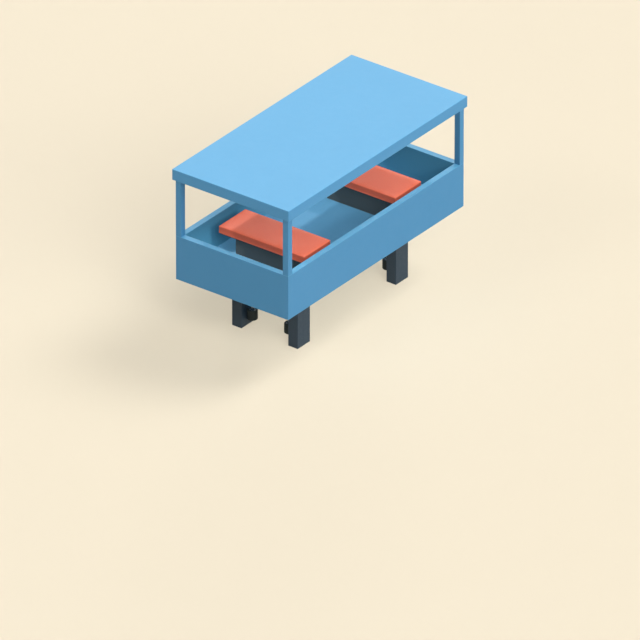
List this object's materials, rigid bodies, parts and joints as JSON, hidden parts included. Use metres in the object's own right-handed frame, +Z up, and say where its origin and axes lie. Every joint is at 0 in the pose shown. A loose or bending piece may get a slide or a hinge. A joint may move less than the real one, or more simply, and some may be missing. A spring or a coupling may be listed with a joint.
{
  "type": "open-sided straddle monorail car",
  "caption": "Small open-sided monorail car: a tub with two bench seats and a flat roof on corner posts, on swivelling bogies whose legs and guide wheels straddle a beam.",
  "frame": {"origin": "on the floor under the middle of the car, level with the feet of its guide legs", "axes": "+Z up, +Y along the car from the A end to the B end, +X to its right looking along +Y"},
  "size_m": [1.983, 4.068, 2.636],
  "materials": {
    "body_paint": "satin light blue enamel",
    "bench_vinyl": "coral red seat vinyl",
    "dark_steel": "satin dark slate enamel",
    "tyre_rubber": "matt black solid rubber",
    "bare_steel": "machined steel",
    "drive_casing": "painted casting"
  },
  "bodies": {
    "car_body": {"bench_pedestal_a": "dark_steel", "bench_pedestal_b": "dark_steel", "cushion_a": "bench_vinyl", "cushion_b": "bench_vinyl", "floor_deck": "body_paint", "middle_beam": "dark_steel", "pivot_beam_a": "dark_steel", "pivot_beam_b": "dark_steel", "post_a_left": "body_paint", "post_a_right": "body_paint", "post_b_left": "body_paint", "post_b_right": "body_paint", "roof_bow_a": "body_paint", "roof_bow_b": "body_paint", "roof_bow_middle": "body_paint", "roof_rail_left": "body_paint", "roof_rail_right": "body_paint", "roof_shell": "body_paint", "sill_left": "dark_steel", "sill_right": "dark_steel", "wall_a_end": "body_paint", "wall_b_end": "body_paint", "wall_left": "body_paint", "wall_right": "body_paint"},
    "bogie_a": {"bogie_frame_a": "dark_steel", "drive_unit": "drive_casing", "leg_a_left": "dark_steel", "leg_a_right": "dark_steel", "roller_fork_a_left": "dark_steel", "roller_fork_a_right": "dark_steel"},
    "wheelset_a": {"load_axle_a": "bare_steel", "load_tyre_a_left": "tyre_rubber", "load_tyre_a_right": "tyre_rubber"},
    "guide_wheel_a_left": {"guide_roller_a_left": "tyre_rubber"},
    "guide_wheel_a_right": {"guide_roller_a_right": "tyre_rubber"},
    "bogie_b": {"bogie_frame_b": "dark_steel", "leg_b_left": "dark_steel", "leg_b_right": "dark_steel", "roller_fork_b_left": "dark_steel", "roller_fork_b_right": "dark_steel"},
    "wheelset_b": {"load_axle_b": "bare_steel", "load_tyre_b_left": "tyre_rubber", "load_tyre_b_right": "tyre_rubber"},
    "guide_wheel_b_left": {"guide_roller_b_left": "tyre_rubber"},
    "guide_wheel_b_right": {"guide_roller_b_right": "tyre_rubber"}
  },
  "joints": [
    {"name": "bogie_a_swivel", "type": "hinge", "parent": "car_body", "child": "bogie_a", "pos_m": [0, -1.12, 0.95], "axis": [0, 0, 1], "range_deg": [-8, 8]},
    {"name": "wheelset_a_spin", "type": "hinge", "parent": "bogie_a", "child": "wheelset_a", "pos_m": [0, -1.12, 0.61], "axis": [1, 0, 0], "continuous": true},
    {"name": "guide_wheel_a_left_spin", "type": "hinge", "parent": "bogie_a", "child": "guide_wheel_a_left", "pos_m": [-0.317, -1.12, 0.198], "axis": [0, 0, 1], "continuous": true},
    {"name": "guide_wheel_a_right_spin", "type": "hinge", "parent": "bogie_a", "child": "guide_wheel_a_right", "pos_m": [0.317, -1.12, 0.198], "axis": [0, 0, 1], "continuous": true},
    {"name": "bogie_b_swivel", "type": "hinge", "parent": "car_body", "child": "bogie_b", "pos_m": [0, 1.12, 0.95], "axis": [0, 0, 1], "range_deg": [-8, 8]},
    {"name": "wheelset_b_spin", "type": "hinge", "parent": "bogie_b", "child": "wheelset_b", "pos_m": [0, 1.12, 0.61], "axis": [1, 0, 0], "continuous": true},
    {"name": "guide_wheel_b_left_spin", "type": "hinge", "parent": "bogie_b", "child": "guide_wheel_b_left", "pos_m": [-0.317, 1.12, 0.198], "axis": [0, 0, 1], "continuous": true},
    {"name": "guide_wheel_b_right_spin", "type": "hinge", "parent": "bogie_b", "child": "guide_wheel_b_right", "pos_m": [0.317, 1.12, 0.198], "axis": [0, 0, 1], "continuous": true}
  ]
}
